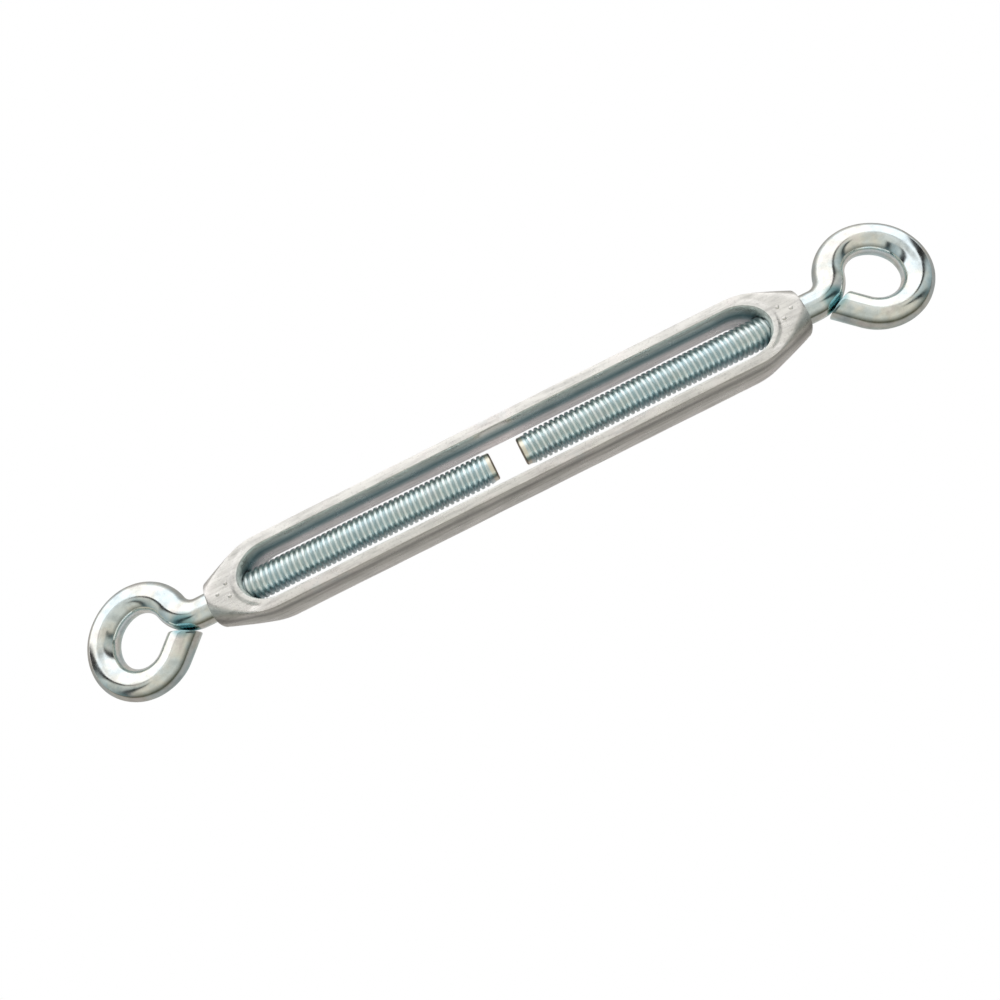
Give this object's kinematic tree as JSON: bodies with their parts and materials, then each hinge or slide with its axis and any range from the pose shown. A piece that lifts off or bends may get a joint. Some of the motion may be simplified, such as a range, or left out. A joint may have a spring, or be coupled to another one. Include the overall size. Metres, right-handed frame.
{
  "type": "rigging turnbuckle",
  "caption": "Eye-and-eye turnbuckle: open cast body with opposite-hand threaded bosses and two bent-eye threaded rods that screw in and out of it.",
  "frame": {"origin": "on the rods' common axis, halfway between the two bosses, at mid-depth of the body", "axes": "+X along the rods towards the right-hand-threaded eyebolt, +Y across the body in the plane of the eyes, away from the eyes' cut tails, +Z out of the front face"},
  "size_m": [0.2284, 0.029, 0.0126],
  "materials": {
    "cast_aluminium": "satin die-cast aluminium, warm light grey, lightly tumbled",
    "zinc_plated_steel": "bright zinc-plated steel with a blue passivation tint"
  },
  "bodies": {
    "frame": {"body_casting": "cast_aluminium"},
    "left_tip": {"left_rod_tip": "zinc_plated_steel"},
    "left_eyebolt": {"left_threaded_rod": "zinc_plated_steel", "left_eye": "zinc_plated_steel"},
    "right_tip": {"right_rod_tip": "zinc_plated_steel"},
    "right_eyebolt": {"right_threaded_rod": "zinc_plated_steel", "right_eye": "zinc_plated_steel"}
  },
  "joints": [
    {"name": "left_travel", "type": "slide", "parent": "frame", "child": "left_tip", "axis": [-1, 0, 0], "range_m": [0, 0.0635]},
    {"name": "left_turn", "type": "hinge", "parent": "left_tip", "child": "left_eyebolt", "pos_m": [-0.06, 0, 0], "axis": [1, 0, 0], "range_deg": [0, 16200]},
    {"name": "right_travel", "type": "slide", "parent": "frame", "child": "right_tip", "axis": [1, 0, 0], "range_m": [0, 0.0635]},
    {"name": "right_turn", "type": "hinge", "parent": "right_tip", "child": "right_eyebolt", "pos_m": [0.06, 0, 0], "axis": [1, 0, 0], "range_deg": [0, 16200]}
  ],
  "couplings": [
    {"joint": "left_turn", "follows": "left_travel", "rad_per_m": 4452.6},
    {"joint": "right_turn", "follows": "right_travel", "rad_per_m": 4452.6}
  ]
}
